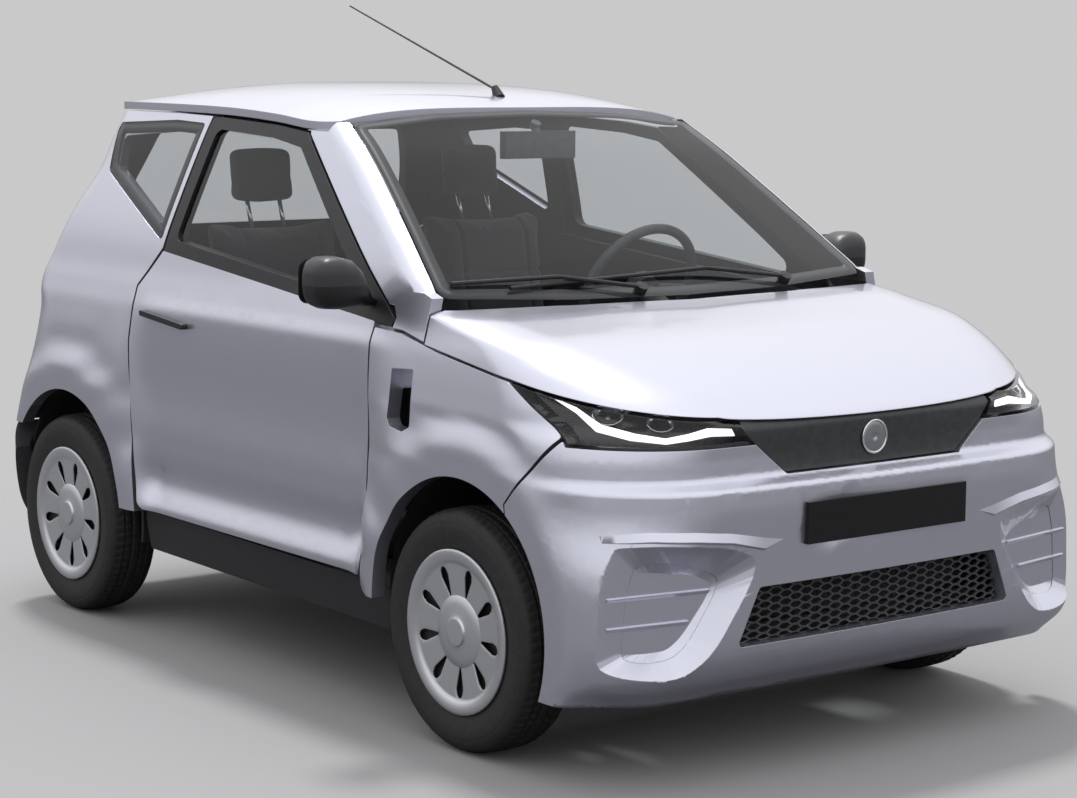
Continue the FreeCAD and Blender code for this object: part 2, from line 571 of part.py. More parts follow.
wiper = []
for stand, bend, tip in (((350, 985), (110, 1012), (-470, 996)), ((-120, 982), (-330, 1010), (-610, 1010))):
    foot_pt, top = on_glass(*stand, 0.2), on_glass(*stand, 16)
    wiper.append(Part.makeCylinder(15, 18, foot_pt, top - foot_pt))
    wiper.append(pipe([tuple(on_glass(*stand, 14)), tuple(on_glass(*bend, 16)), tuple(on_glass(*tip, 9))], 5))
add("wipers", Part.makeCompound([wiper[0].fuse(wiper[1]).cut(glass), wiper[2].fuse(wiper[3]).cut(glass)]))
rise = on_glass(0, 1372, 0) - on_glass(0, 1352, 0)
rise.normalize()
away = V(0, rise.z, -rise.y)
root = on_glass(0, 1362, 0) + V(0, 7, 0) + away * 0.6
stem = join(tube((0, -125, 1330), tuple(root + away * 14), 10), Part.makeCylinder(13, 18, root, away))
add("interior_mirror", join(box(-110, 110, -137, -112, 1272, 1340), stem))
mast = join(tube((0, 40, 1420), (0, 60, 1448), 16, 9), tube((0, 56, 1442), (0, 731, 1664), 3.5, 2.2))
add("aerial", mast.cut(roof))

os.makedirs("parts", exist_ok=True)
doc.recompute()
for obj in NODES:
    if not obj.Shape.isValid() or not obj.Shape.Solids:
        raise SystemExit("bad shape: " + obj.Label)
    if len(obj.Shape.Solids) == 1:
        obj.Shape = obj.Shape.Solids[0]
    obj.Shape.exportStep("parts/%s.step" % obj.Label)
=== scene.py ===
import math
import bpy
import bmesh
from mathutils import Matrix, Vector
from mathutils.bvhtree import BVHTree


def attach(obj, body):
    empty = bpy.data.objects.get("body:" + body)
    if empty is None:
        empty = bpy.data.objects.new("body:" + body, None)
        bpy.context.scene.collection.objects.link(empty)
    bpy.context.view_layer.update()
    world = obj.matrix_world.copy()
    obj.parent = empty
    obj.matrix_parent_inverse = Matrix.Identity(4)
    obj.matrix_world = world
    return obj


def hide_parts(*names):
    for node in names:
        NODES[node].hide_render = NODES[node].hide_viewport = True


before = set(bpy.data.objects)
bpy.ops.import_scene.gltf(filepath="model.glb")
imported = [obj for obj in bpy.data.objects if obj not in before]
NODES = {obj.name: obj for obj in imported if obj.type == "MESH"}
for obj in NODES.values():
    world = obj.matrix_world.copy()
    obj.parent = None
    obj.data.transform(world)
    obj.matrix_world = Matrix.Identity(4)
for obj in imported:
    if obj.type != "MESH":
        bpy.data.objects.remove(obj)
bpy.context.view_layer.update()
SCENE = bpy.context.scene
MM = 0.001

# The photograph's camera: where it stands, which way it looks and how long its lens is.
CAMERA_AT = (-3.8782, -5.1687, 1.4960)
AZIMUTH, ELEVATION, ROLL = -37.60, 7.48, -0.34
SENSOR, FOCAL = 36.0, 84.16


def camera():
    """The camera at the photograph's place."""
    az, el, roll = (math.radians(v) for v in (AZIMUTH, ELEVATION, ROLL))
    back = Vector((math.sin(az) * math.cos(el), -math.cos(az) * math.cos(el), math.sin(el)))
    right = Vector((math.cos(az), math.sin(az), 0))
    up = back.cross(right)
    right, up = (right * math.cos(roll) - up * math.sin(roll),
                 right * math.sin(roll) + up * math.cos(roll))
    data = bpy.data.cameras.new("camera")
    data.sensor_width, data.lens = SENSOR, FOCAL
    data.clip_start, data.clip_end = 0.1, 100
    obj = bpy.data.objects.new("camera", data)
    obj.matrix_world = Matrix((
        (right.x, up.x, back.x, CAMERA_AT[0]),
        (right.y, up.y, back.y, CAMERA_AT[1]),
        (right.z, up.z, back.z, CAMERA_AT[2]),
        (0, 0, 0, 1)))
    SCENE.collection.objects.link(obj)
    SCENE.camera = obj


# Materials.

def material(name, colour, rough=0.5, metal=0.0, **sockets):
    """A principled material; sockets are other inputs, with _ for spaces."""
    mat = bpy.data.materials.new(name)
    mat.use_nodes = True
    bsdf = mat.node_tree.nodes["Principled BSDF"]
    bsdf.inputs["Base Color"].default_value = (*colour, 1)
    bsdf.inputs["Roughness"].default_value = rough
    bsdf.inputs["Metallic"].default_value = metal
    for key, value in sockets.items():
        bsdf.inputs[key.replace("_", " ")].default_value = value
    return mat


def node(mat, kind, **values):
    """A node of the material, its inputs and settings given by name."""
    made = mat.node_tree.nodes.new(kind)
    for key, value in values.items():
        name = key.replace("_", " ")
        if name in made.inputs:
            made.inputs[name].default_value = value
        else:
            setattr(made, key, value)
    return made


def link(mat, a, out, b, into):
    mat.node_tree.links.new(a.outputs[out], b.inputs[into])


def grain(mat, scale, strength, detail=3.0, distance=0.001, radius=0.0, bsdf=None):
    """Fine bump from noise in object space, over rounded edges where radius is given."""
    bsdf = bsdf or mat.node_tree.nodes["Principled BSDF"]
    place = node(mat, "ShaderNodeTexCoord")
    noise = node(mat, "ShaderNodeTexNoise", Scale=scale, Detail=detail)
    bump = node(mat, "ShaderNodeBump", Strength=strength, Distance=distance)
    link(mat, place, "Object", noise, "Vector")
    link(mat, noise, "Fac", bump, "Height")
    if radius:
        edge = node(mat, "ShaderNodeBevel", Radius=radius, samples=4)
        link(mat, edge, "Normal", bump, "Normal")
    link(mat, bump, "Normal", bsdf, "Normal")
    return noise


def mottle(mat, colour_a, colour_b, scale, low=0.35, high=0.65):
    """Base colour that drifts between two near colours."""
    bsdf = mat.node_tree.nodes["Principled BSDF"]
    place = node(mat, "ShaderNodeTexCoord")
    noise = node(mat, "ShaderNodeTexNoise", Scale=scale, Detail=4.0)
    ramp = node(mat, "ShaderNodeValToRGB")
    ramp.color_ramp.elements[0].position, ramp.color_ramp.elements[1].position = low, high
    ramp.color_ramp.elements[0].color = (*colour_a, 1)
    ramp.color_ramp.elements[1].color = (*colour_b, 1)
    link(mat, place, "Object", noise, "Vector")
    link(mat, noise, "Fac", ramp, "Fac")
    link(mat, ramp, "Color", bsdf, "Base Color")


def rough_noise(mat, scale, low, high):
    """Roughness that drifts between two values."""
    bsdf = mat.node_tree.nodes["Principled BSDF"]
    place = node(mat, "ShaderNodeTexCoord")
    noise = node(mat, "ShaderNodeTexNoise", Scale=scale, Detail=5.0)
    span = node(mat, "ShaderNodeMapRange", To_Min=low, To_Max=high)
    link(mat, place, "Object", noise, "Vector")
    link(mat, noise, "Fac", span, "Value")
    link(mat, span, "Result", bsdf, "Roughness")


# A surface is lined where its normal points this much, as a cosine, back to the cabin's middle.
CABIN_MIDDLE, LINED_BELOW = (0, 0.2, 0.62), -0.45


def lined(mat, colour, rough):
    """A grained lining of another colour on the side of a panel that faces the cabin's middle."""
    paint = mat.node_tree.nodes["Principled BSDF"]
    trim = node(mat, "ShaderNodeBsdfPrincipled", Roughness=rough)
    trim.inputs["Base Color"].default_value = (*colour, 1)
    grain(mat, scale=700, strength=0.35, detail=2.0, distance=0.0006, bsdf=trim)
    place = node(mat, "ShaderNodeTexCoord")
    away = node(mat, "ShaderNodeVectorMath", operation="SUBTRACT")
    away.inputs[1].default_value = CABIN_MIDDLE
    unit = node(mat, "ShaderNodeVectorMath", operation="NORMALIZE")
    facing = node(mat, "ShaderNodeVectorMath", operation="DOT_PRODUCT")
    inside = node(mat, "ShaderNodeMath", operation="LESS_THAN")
    inside.inputs[1].default_value = LINED_BELOW
    mix = node(mat, "ShaderNodeMixShader")
    link(mat, place, "Object", away, 0)
    link(mat, away, 0, unit, 0)
    link(mat, unit, 0, facing, 0)
    link(mat, place, "Normal", facing, 1)
    link(mat, facing, "Value", inside, 0)
    link(mat, inside, 0, mix, 0)
    link(mat, paint, "BSDF", mix, 1)
    link(mat, trim, "BSDF", mix, 2)
    link(mat, mix, "Shader", mat.node_tree.nodes["Material Output"], "Surface")
    return mat


def paint_material(name, lining, rough=0.7):
    """Silver-lavender metallic paint under a clear coat, with rounded edges and a lined back."""
    mat = material(name, (0.68, 0.69, 0.79), 0.30, 0.86, Coat_Weight=1.0, Coat_Roughness=0.05)
    mottle(mat, (0.665, 0.675, 0.775), (0.695, 0.705, 0.805), scale=900, low=0.4, high=0.6)
    grain(mat, scale=2600, strength=0.04, detail=1.0, distance=0.0004, radius=0.0022)
    return lined(mat, lining, rough)


def glass_material(name, tint):
    """Thin tinted glass: it lets light through straight and reflects by its angle."""
    mat = bpy.data.materials.new(name)
    mat.use_nodes = True
    tree = mat.node_tree
    tree.nodes.remove(tree.nodes["Principled BSDF"])
    clear = node(mat, "ShaderNodeBsdfTransparent", Color=(*tint, 1))
    shine = node(mat, "ShaderNodeBsdfGlossy", Color=(1, 1, 1, 1), Roughness=0.0)
    share = node(mat, "ShaderNodeFresnel", IOR=1.35)
    place = node(mat, "ShaderNodeNewGeometry")
    front = node(mat, "ShaderNodeMath", operation="SUBTRACT")
    front.inputs[0].default_value = 1.0
    outer = node(mat, "ShaderNodeMath", operation="MULTIPLY")
    mix = node(mat, "ShaderNodeMixShader")
    link(mat, place, "Backfacing", front, 1)
    link(mat, share, "Fac", outer, 0)
    link(mat, front, 0, outer, 1)
    link(mat, outer, 0, mix, 0)
    link(mat, clear, "BSDF", mix, 1)
    link(mat, shine, "BSDF", mix, 2)
    link(mat, mix, "Shader", tree.nodes["Material Output"], "Surface")
    return mat


def plastic(name, colour, rough, scale=420, strength=0.25, radius=0.0015):
    """Moulded plastic with a fine grain."""
    mat = material(name, colour, rough)
    mottle(mat, tuple(c * 0.85 for c in colour), tuple(c * 1.15 for c in colour), scale=60)
    grain(mat, scale, strength, detail=2.0, distance=0.0006, radius=radius)
    return mat


def metal(name, colour, rough, scale=300, strength=0.12):
    """Metal whose roughness drifts a little."""
    mat = material(name, colour, rough, metal=0.9)
    rough_noise(mat, scale=40, low=rough * 0.8, high=rough * 1.25)
    noise = grain(mat, scale, strength, detail=3.0, distance=0.0005, radius=0.001)
    noise.inputs["Roughness"].default_value = 0.6
    return mat


def glow(name, colour, strength):
    """Lit lamp plastic with a fine grain."""
    mat = material(name, (0.8, 0.8, 0.8), 0.3)
    bsdf = mat.node_tree.nodes["Principled BSDF"]
    bsdf.inputs["Emission Color"].default_value = (*colour, 1)
    bsdf.inputs["Emission Strength"].default_value = strength
    grain(mat, scale=300, strength=0.1)
    return mat


def split_plastic(name, upper, lower, height):
    """Plastic of two shades that meet at a height."""
    mat = plastic(name, upper, 0.38, scale=520, strength=0.2)
    bsdf = mat.node_tree.nodes["Principled BSDF"]
    place = node(mat, "ShaderNodeTexCoord")
    split = node(mat, "ShaderNodeSeparateXYZ")
    under = node(mat, "ShaderNodeMath", operation="LESS_THAN")
    under.inputs[1].default_value = height
    mix = node(mat, "ShaderNodeMixRGB")
    mix.inputs[1].default_value = (*upper, 1)
    mix.inputs[2].default_value = (*lower, 1)
    link(mat, place, "Object", split, 0)
    link(mat, split, "Z", under, 0)
    link(mat, under, 0, mix, 0)
    link(mat, mix, 0, bsdf, "Base Color")
    return mat


def woven(name, colour):
    """Plain-weave cloth: crossed threads with a little sheen, in object space."""
    mat = material(name, colour, 0.92, Sheen_Weight=0.35, Sheen_Roughness=0.5)
    bsdf = mat.node_tree.nodes["Principled BSDF"]
    mottle(mat, tuple(c * 0.7 for c in colour), tuple(c * 1.35 for c in colour),
           scale=700, low=0.3, high=0.7)
    place = node(mat, "ShaderNodeTexCoord")
    waves = []
    for way in ("X", "Z"):
        wave = node(mat, "ShaderNodeTexWave", Scale=260, Distortion=1.2, Detail=1.0)
        wave.bands_direction = way
        link(mat, place, "Object", wave, "Vector")
        waves.append(wave)
    cross = node(mat, "ShaderNodeMath", operation="MULTIPLY")
    bump = node(mat, "ShaderNodeBump", Strength=0.7, Distance=0.0012)
    link(mat, waves[0], "Fac", cross, 0)
    link(mat, waves[1], "Fac", cross, 1)
    link(mat, cross, 0, bump, "Height")
    link(mat, bump, "Normal", bsdf, "Normal")
    return mat


LINING = (0.060, 0.060, 0.064)
PAINT = paint_material("paint", LINING)
ROOF_PAINT = paint_material("roof_paint", (0.30, 0.30, 0.31), 0.95)
GLASS = glass_material("glass", (0.88, 0.89, 0.895))
SCREEN_GLASS = glass_material("screen_glass", (0.89, 0.905, 0.91))
BLACK = plastic("black_plastic", (0.016, 0.016, 0.018), 0.42)
FRIT = plastic("frit", (0.012, 0.012, 0.013), 0.5, scale=900, strength=0.05, radius=0)
GLOSS = plastic("dark_gloss", (0.014, 0.014, 0.016), 0.16, scale=300, strength=0.02)
GRILLE = plastic("grille_grey", (0.042, 0.044, 0.046), 0.36, scale=500, strength=0.15)
MESH = plastic("mesh_grey", (0.055, 0.056, 0.060), 0.40, scale=500, strength=0.15)
CABIN = plastic("cabin_plastic", (0.085, 0.087, 0.092), 0.55, scale=700, strength=0.4)
CHASSIS = plastic("chassis", (0.022, 0.022, 0.024), 0.6, scale=200, strength=0.3)
ALLOY = metal("alloy", (0.55, 0.56, 0.58), 0.42)
CHROME = metal("chrome", (0.88, 0.89, 0.90), 0.10, scale=900, strength=0.01)
BADGE = metal("plain_boss", (0.42, 0.43, 0.45), 0.30, scale=900, strength=0.03)
HUBCAP = material("hubcap", (0.66, 0.67, 0.70), 0.30, 0.75, Coat_Weight=0.6, Coat_Roughness=0.08)
mottle(HUBCAP, (0.64, 0.65, 0.68), (0.68, 0.69, 0.72), scale=500)
grain(HUBCAP, scale=1800, strength=0.03, detail=1.0, distance=0.0003, radius=0.0015)
RUBBER = plastic("rubber", (0.022, 0.022, 0.023), 0.68, scale=1100, strength=0.3, radius=0)
CLOTH = woven("seat_cloth", (0.060, 0.060, 0.064))
LENS = glass_material("lamp_lens", (0.97, 0.975, 0.98))
STRIP = glow("running_light", (1.0, 1.0, 1.0), 1.1)
TAIL = material("tail_lens", (0.30, 0.012, 0.012), 0.08, 0.0, Coat_Weight=1.0)
mottle(TAIL, (0.22, 0.008, 0.008), (0.38, 0.02, 0.02), scale=90)
PLATE = plastic("plate", (0.006, 0.006, 0.007), 0.25, scale=200, strength=0.02)
MIRROR_CASE = split_plastic("mirror_case", (0.040, 0.041, 0.043), (0.012, 0.012, 0.013),
                            height=1.010)
MIRROR_GLASS = metal("mirror_glass", (0.80, 0.82, 0.84), 0.05, scale=900, strength=0.005)

BY_NODE = {
    "front_plate": PLATE, "lower_grille": MESH, "grille_panel": GRILLE, "headlamps": LENS,
    "roof": ROOF_PAINT, "windscreen": SCREEN_GLASS, "quarter_windows": GLASS,
    "tailgate_glass": GLASS, "door_glass_left": GLASS, "door_glass_right": GLASS,
    "tail_lamps": TAIL,
    "window_frame_left": BLACK, "window_frame_right": BLACK, "floor_pan": CHASSIS,
    "bulkhead": CHASSIS, "front_frame": CHASSIS, "side_skirts": BLACK, "front_liners": CHASSIS,
    "rear_liners": CHASSIS, "dashboard": CABIN, "interior_mirror": CABIN, "engine": ALLOY,
    "front_subframe": CHASSIS, "rear_axle": CHASSIS, "wipers": BLACK, "aerial": BLACK,
    "seat_left": CLOTH, "seat_right": CLOTH, "steering_wheel": CABIN,
    "door_mirror_left": MIRROR_CASE, "door_mirror_right": MIRROR_CASE,
    "door_handle_left": BLACK, "door_handle_right": BLACK,
    "knuckle_left": ALLOY, "knuckle_right": ALLOY,
}


def dress_nodes():
    """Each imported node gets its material."""
    for name, obj in NODES.items():
        if name.startswith("tyre"):
            mat = RUBBER
        elif name.startswith("wheel"):
            mat = HUBCAP
        else:
            mat = BY_NODE.get(name, PAINT)
        obj.data.materials.clear()
        obj.data.materials.append(mat)


# Pieces.

SIDES = (("left", 1), ("right", -1))
HUB_X, HUB_Z = 0.66, 0.272
AXLES = (("front", -0.785), ("rear", 1.049))


def piece(name, verts, faces, mat, body, slot, smooth=True):
    """A mesh object in metres that rides on a body."""
    mesh = bpy.data.meshes.new(name)
    mesh.from_pydata([tuple(v) for v in verts], [], faces)
    mesh.validate()
    bm = bmesh.new()
    bm.from_mesh(mesh)
    bmesh.ops.recalc_face_normals(bm, faces=bm.faces)
    bm.to_mesh(mesh)
    bm.free()
    mesh.materials.append(mat)
    for poly in mesh.polygons:
        poly.use_smooth = smooth
    obj = bpy.data.objects.new(name, mesh)
    SCENE.collection.objects.link(obj)
    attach(obj, body)
    return obj


def welded(node_name, gap=2e-6):
    """A copy of a node's mesh with its split corners joined."""
    bm = bmesh.new()
    bm.from_mesh(NODES[node_name].data)
    bmesh.ops.remove_doubles(bm, verts=bm.verts, dist=gap)
    return bm


def from_bmesh(name, bm, mat):
    """An object made of a bmesh, which is freed."""
    mesh = bpy.data.meshes.new(name)
    bm.to_mesh(mesh)
    bm.free()
    mesh.materials.append(mat)
    obj = bpy.data.objects.new(name, mesh)
    SCENE.collection.objects.link(obj)
    return obj


def tree_over(bm, faces):
    """A search tree over some faces of a bmesh."""
    return BVHTree.FromPolygons([v.co.copy() for v in bm.verts],
                                [[v.index for v in f.verts] for f in faces])


def modifier(obj, name, kind, **values):
    made = obj.modifiers.new(name, kind)
    for key, value in values.items():
        setattr(made, key, value)
    return made


def apply_all(obj):
    """The mesh as its modifiers leave it, with none left on the piece."""
    bpy.context.view_layer.update()
    graph = bpy.context.evaluated_depsgraph_get()
    mesh = bpy.data.meshes.new_from_object(obj.evaluated_get(graph))
    obj.modifiers.clear()
    obj.data = mesh


def ridged(obj, angle=28):
    """Smooth shading with sharp edges above an angle, weighted by face size."""
    obj.data.set_sharp_from_angle(angle=math.radians(angle))
    modifier(obj, "weighted", "WEIGHTED_NORMAL", keep_sharp=True, weight=60)
    apply_all(obj)


def quads(rows, cols, ring=False):
    """Faces between closed rows of points; with ring the last row meets the first."""
    faces = []
    for row in range(rows if ring else rows - 1):
        low, top = row * cols, (row + 1) % rows * cols
        for col in range(cols):
            onward = (col + 1) % cols
            faces.append((low + col, low + onward, top + onward, top + col))
    return faces


def ends(rows, cols):
    """The faces that close the first and the last row of points."""
    return [tuple(range(cols)), tuple(range((rows - 1) * cols, rows * cols))]


def spun(profile, count, at, axis="x", wave=None):
    """Points and faces of a closed profile (along, radius) in millimetres, turned about an axis."""
    verts = []
    for k in range(count):
        for along, radius in profile:
            angle = 2 * math.pi * k / count
            if wave:
                angle, radius = wave(k, along, radius)
            a, b = radius * math.cos(angle), radius * math.sin(angle)
            off = (along, a, b) if axis == "x" else (a, along, b)
            verts.append(tuple(at[i] + off[i] * MM for i in range(3)))
    return verts, quads(count, len(profile), ring=True)


def between(table, x):
    """A value read off a table of points, level beyond its ends."""
    if x <= table[0][0]:
        return table[0][1]
    for (a, u), (b, v) in zip(table, table[1:]):
        if x <= b:
            return u + (v - u) * (x - a) / (b - a)
    return table[-1][1]


# Tyres: crowned tread of five ribs with slanted cross cuts, ribbed shoulders and plain side walls,
# in millimetres from the hub.
TREAD_RADIUS, CROWN_WIDTH, HALF_TREAD = 271.9, 30, 45.5
GROOVES = (-33, -12, 12, 33)
GROOVE_REACH, GROOVE_EDGE, GROOVE_FLOOR, GROOVE_DEPTH = 6, 3.6, 2.6, 6.5
SIDE_WALL = ((54, 170.5), (59, 172), (61, 178), (63, 182), (67, 196), (70.5, 210), (71.8, 222),
             (72.2, 232), (71.6, 238), (70.4, 241), (70.6, 243), (69.0, 248), (66.5, 254),
             (63, 259.5), (58, 263.5), (52, 266.6))
BORE = ((-50, 168.5), (0, 168.5), (50, 168.5))
# Every pitch has four columns: their places along it and how deep they lie where a rib is cut.
PITCHES = 76
CUT_AT, CUT_DEPTH = (0, 0.62, 0.70, 0.92), (0, 3.2, 3.6, 0)
SHOULDER_RADIUS, CUT_RADIUS, CUT_SLANT = 262.5, 264, 0.00045
CUT_RIB, CUT_RIB_HALF, SHOULDER_RIB = 22.5, 8, 38


def crown(x):
    """Tread radius across the tyre."""
    return TREAD_RADIUS - (x / CROWN_WIDTH) ** 2


def tyre_profile():
    tread = [(HALF_TREAD, crown(HALF_TREAD))]
    for x in reversed(GROOVES):
        floor = crown(x) - GROOVE_DEPTH
        tread += [(x + off, crown(x + off)) for off in (GROOVE_REACH, GROOVE_EDGE)]
        tread += [(x + GROOVE_FLOOR, floor), (x - GROOVE_FLOOR, floor)]
        tread += [(x - off, crown(x - off)) for off in (GROOVE_EDGE, GROOVE_REACH)]
    tread.append((-HALF_TREAD, crown(HALF_TREAD)))
    return [*SIDE_WALL, *tread, *((-x, r) for x, r in reversed(SIDE_WALL)), *BORE]


def tread_cut(k, along, radius):
    """The angle and radius of a tread point, sunk where a slanted cut crosses its rib."""
    step = 2 * math.pi / PITCHES
    part = k % len(CUT_AT)
    angle = (k // len(CUT_AT)) * step + CUT_AT[part] * step
    if radius > SHOULDER_RADIUS:
        angle += CUT_SLANT * abs(along)
        rib = abs(abs(along) - CUT_RIB) < CUT_RIB_HALF or abs(along) > SHOULDER_RIB
        if rib and radius > CUT_RADIUS:
            radius -= CUT_DEPTH[part]
    return angle, radius


def tyres():
    profile = tyre_profile()
    for end, y in AXLES:
        for side_name, s in SIDES:
            label = "%s_%s" % (end, side_name)
            hub = (s * HUB_X, y, HUB_Z)
            verts, faces = spun(profile, PITCHES * len(CUT_AT), hub, "x", tread_cut)
            obj = piece("tyre_tread_" + label, verts, faces, RUBBER, "wheel_" + label, "tyre")
            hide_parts("tyre_" + label)


# Wheel covers: a dished disc with a ring of tapered slots, over a dark wheel, in millimetres.
# COVER is (radius, off the hub), SLOT is (radius, half width) and RIM is (off the hub, radius).
COVER = ((0, 71), (31, 71), (33, 66), (43, 65), (60, 62.5), (77, 60), (80, 58), (150, 63),
         (160, 69), (178, 71.8), (183.5, 70), (184, 66))
COVER_RADII = (0.5, 12, 24, 31, 33, 43, 60, 77, 80, 81, 90, 100, 112, 128, 135, 142, 148, 150,
               156, 160, 170, 178, 183.5, 184)
SLOTS, COVER_TURN = 9, 23
SLOT = ((81, 3), (128, 13.5), (142, 10.5), (148, 4))
SLOT_FROM, SLOT_TO = SLOT[0][0], SLOT[-1][0]
ACROSS_SLOT, ACROSS_BAR = (-1, -0.33, 0.33), (0, 0.15, 0.32, 0.5, 0.68, 0.85)
RIM = ((55, 169.3), (-58, 169.3), (-58, 160), (20, 160), (26, 90), (16, 44), (16, 0.6), (30, 0.6),
       (34, 60), (44, 120), (50, 161))


def cover(s, y):
    """Points and faces of one cover; the rows between the slots' ends are open at the slots."""
    sector = 2 * math.pi / SLOTS
    verts = []
    for r in COVER_RADII:
        half = between(SLOT, r) / max(r, SLOT_FROM)
        columns = [half * share for share in ACROSS_SLOT]
        columns += [half + (sector - 2 * half) * share for share in ACROSS_BAR]
        for k in range(SLOTS):
            start = k * sector + math.radians(COVER_TURN)
            for off in columns:
                a = start + off
                verts.append((s * (HUB_X + between(COVER, r) * MM),
                              y + r * MM * math.sin(a), HUB_Z + r * MM * math.cos(a)))
    cols = len(ACROSS_SLOT) + len(ACROSS_BAR)
    n = SLOTS * cols
    open_row = [SLOT_FROM <= r < SLOT_TO for r in COVER_RADII]
    faces = [face for face in quads(len(COVER_RADII), n)
             if not (open_row[face[0] // n] and face[0] % cols < len(ACROSS_SLOT))]
    return verts, faces + ends(len(COVER_RADII), n)[:1]


def covers():
    for end, y in AXLES:
        for side_name, s in SIDES:
            label = "%s_%s" % (end, side_name)
            obj = piece("cover_" + label, *cover(s, y), HUBCAP, "wheel_" + label, "hubcap")
            modifier(obj, "wall", "SOLIDIFY", thickness=0.0035, offset=-1)
            modifier(obj, "round", "BEVEL", width=0.0012, segments=2, limit_method="ANGLE",
                     angle_limit=math.radians(35))
            apply_all(obj)
            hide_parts("wheel_" + label)
            verts, faces = spun([(s * x, r) for x, r in RIM], 72, (s * HUB_X, y, HUB_Z), "x")
            piece("rim_" + label, verts, faces, CHASSIS, "wheel_" + label, "chassis")


# The grille panel's boss: a bright ring round a plain domed disc, in millimetres from its middle.
BOSS_AT = (0, -1.3300, 0.709)
RING_RADIUS, RING_HALF_WIDTH, RING_HALF_DEPTH, RING_FORWARD = 35.4, 2.6, 2, 0.2
DISC = ((0.4, 33), (-0.3, 31), (-0.8, 24), (-1.1, 12), (-1.2, 0.3), (1.0, 0.3), (1.0, 33))


def boss():
    angles = [math.pi * k / 6 for k in range(12)]
    ring = [(RING_HALF_DEPTH * math.cos(a) - RING_FORWARD,
             RING_RADIUS + RING_HALF_WIDTH * math.sin(a)) for a in angles]
    verts, faces = spun(ring, 72, BOSS_AT, "y")
    piece("boss_ring", verts, faces, CHROME, "body", "engine_alloy")
    verts, faces = spun(DISC, 60, BOSS_AT, "y")
    piece("boss_disc", verts, faces, BADGE, "body", "grille_grey")


# The front bumper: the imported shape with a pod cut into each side, a tub and louvres in the pod
# and a ledge over it. Outlines are (x, z) on the left side, and the ledge's edges and reach go
# by x, all in millimetres.
POD_RIM = ((350, 479), (440, 517), (600, 533), (690, 528), (722, 480), (735, 310), (700, 262),
           (512, 244))
POD_FLOOR = ((443, 429), (480, 452), (530, 462), (640, 475), (700, 462), (700, 312), (620, 300),
             (539, 302))
LEDGE_TOP = ((296, 524), (350, 532), (440, 548), (530, 558), (620, 562), (694, 556))
LEDGE_LOW = ((296, 519), (350, 492), (440, 516), (530, 527), (620, 532), (694, 526))
LEDGE_REACH = ((296, 0), (350, 4), (440, 7), (530, 8), (620, 7), (694, 0))
# The same in metres: the line of the pods' floor, and the ledge's ends, stations and edge.
FLOOR_X, FLOOR_Y, FLOOR_SWEEP = 0.443, -1.311, 0.172
IN_FRONT, POD_LIP = -1.44, 0.001
LEDGE_FROM, LEDGE_LONG, STATIONS, LEDGE_EDGE, LEDGE_ROOT = 0.300, 0.394, 40, 0.35, 0.014
# Louvres: where each one starts and lies, where both end, and their section as (y, z).
LOUVRES = ((0.456, 0.423), (0.506, 0.361))
LOUVRE_END = 0.697
LOUVRE_SECTION = ((0.002, -0.010), (-0.006, -0.001), (-0.006, 0.001), (0.002, 0.003))


def front_at(tree, x, z):
    """The foremost point of a surface at (x, z), in metres."""
    spot = tree.ray_cast(Vector((x, -2, z)), Vector((0, 1, 0)))[0]
    return spot.y if spot else -1.2


def pod_y(x):
    """Where the pods' floor lies, which follows the sweep of the bumper."""
    return FLOOR_Y + FLOOR_SWEEP * (x - FLOOR_X)


def rounded(points):
    """A closed outline with its corners cut three times, until they are round."""
    for _ in range(3):
        out = []
        for k, (x, z) in enumerate(points):
            u, v = points[(k + 1) % len(points)]
            out += [(x * 0.8 + u * 0.2, z * 0.8 + v * 0.2), (x * 0.2 + u * 0.8, z * 0.2 + v * 0.8)]
        points = out
    return points


def pod_rings(tree, s):
    """A pod's outlines in front of the bumper, on its skin and at the pod's floor."""
    rim = []
    for x, z in rounded(POD_RIM):
        y = min(front_at(tree, s * x * MM, z * MM), pod_y(x * MM) - POD_LIP)
        rim.append((s * x * MM, y, z * MM))
    outer = [(x, IN_FRONT, z) for x, _, z in rim]
    floor = [(s * x * MM, pod_y(x * MM), z * MM) for x, z in rounded(POD_FLOOR)]
    return outer, rim, floor


def pod_tub(side_name, rim, floor):
    """The pod's floor and the inner part of its walls."""
    back = [(x, y + 0.0008, z) for x, y, z in floor]
    front = [Vector(p).lerp(Vector(q), 0.45) + Vector((0, 0.0015, 0)) for p, q in zip(rim, back)]
    n = len(rim)
    piece("pod_tub_" + side_name, front + back, quads(2, n) + ends(2, n)[1:], PAINT, "body",
          "paint", smooth=False)


def pod_louvres(side_name, s):
    for k, (start, z) in enumerate(LOUVRES):
        verts = [(s * x, pod_y(x) + dy, z + dz) for x in (start, LOUVRE_END)
                 for dy, dz in LOUVRE_SECTION]
        bar = piece("pod_louvre_%s_%d" % (side_name, k), verts, quads(2, 4) + ends(2, 4), PAINT,
                    "body", "paint", smooth=False)
        modifier(bar, "round", "BEVEL", width=0.001, segments=2)
        apply_all(bar)


